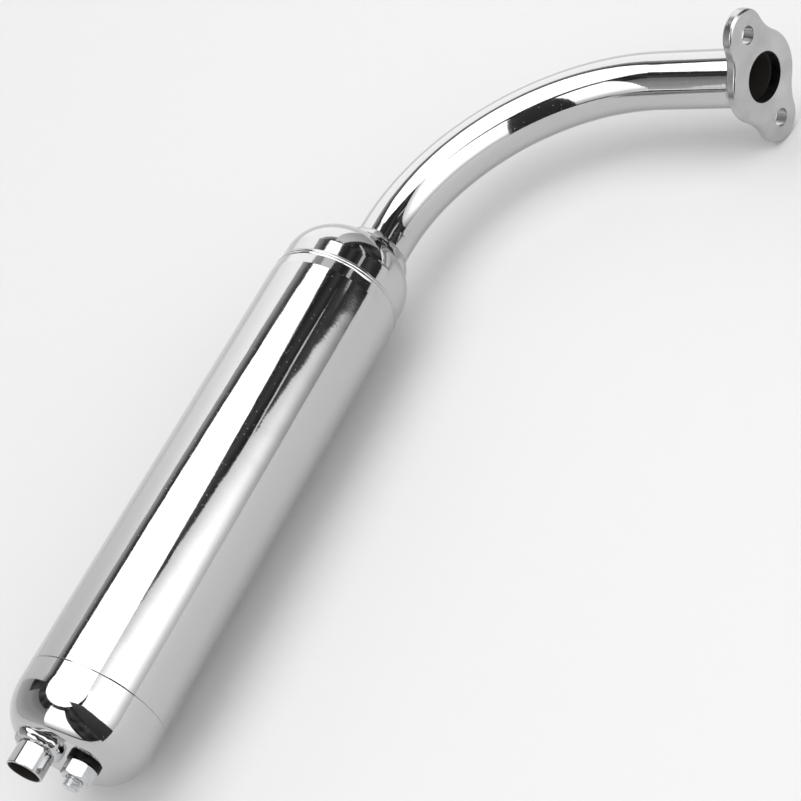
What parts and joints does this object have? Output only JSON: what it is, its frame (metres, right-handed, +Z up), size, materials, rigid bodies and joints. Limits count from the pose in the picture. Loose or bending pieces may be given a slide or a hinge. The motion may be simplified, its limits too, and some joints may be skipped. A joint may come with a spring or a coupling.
{
  "type": "two-stroke exhaust system",
  "caption": "Chromed small-engine exhaust: bent head pipe on a tilted two-stud flange, round can silencer with a bolted tail cap and pull-out baffle core.",
  "frame": {"origin": "centre of the port on the flange's mating face", "axes": "head pipe leaves along -X and bends to -Y, the can runs along -Y with its tail at the -Y end, +Z up; the flange's outward normal is 13 degrees from +X towards -Y"},
  "size_m": [0.1627, 0.3468, 0.059],
  "materials": {
    "mirror_chrome": "polished",
    "satin_chrome": "satin, over an unpolished flange",
    "chromed_weld": "rippled bead, plated",
    "zinc_plate": "bright zinc",
    "black_oxide": "black oxide spring steel",
    "plain_steel": "bare mild steel"
  },
  "bodies": {
    "muffler": {"exhaust_flange": "satin_chrome", "flange_weld": "chromed_weld", "head_pipe": "mirror_chrome", "pipe_weld": "chromed_weld", "front_cap": "mirror_chrome", "front_seam_weld": "chromed_weld", "can_shell": "mirror_chrome", "stud_bracket": "plain_steel", "bracket_welds": "plain_steel", "stud": "zinc_plate", "anchor_nuts": "zinc_plate"},
    "tail_core": {"end_cap": "mirror_chrome", "tail_pipe": "mirror_chrome", "tail_weld": "chromed_weld", "rear_baffle": "plain_steel", "front_baffle": "plain_steel", "baffle_tube": "plain_steel", "core_welds": "plain_steel"},
    "washer": {"lock_washer": "black_oxide"},
    "nut": {"hex_nut": "zinc_plate"}
  },
  "joints": [
    {"name": "core_slide", "type": "slide", "parent": "muffler", "child": "tail_core", "axis": [0, -1, 0], "range_m": [0, 0.12]},
    {"name": "nut_travel", "type": "slide", "parent": "tail_core", "child": "washer", "axis": [0, -1, 0], "range_m": [0, 0.009]},
    {"name": "nut_spin", "type": "hinge", "parent": "washer", "child": "nut", "pos_m": [-0.1235, -0.322, 0.0023], "axis": [0, -1, 0], "range_deg": [0, 3240]}
  ],
  "couplings": [
    {"joint": "nut_spin", "follows": "nut_travel", "rad_per_m": 6283.2}
  ]
}
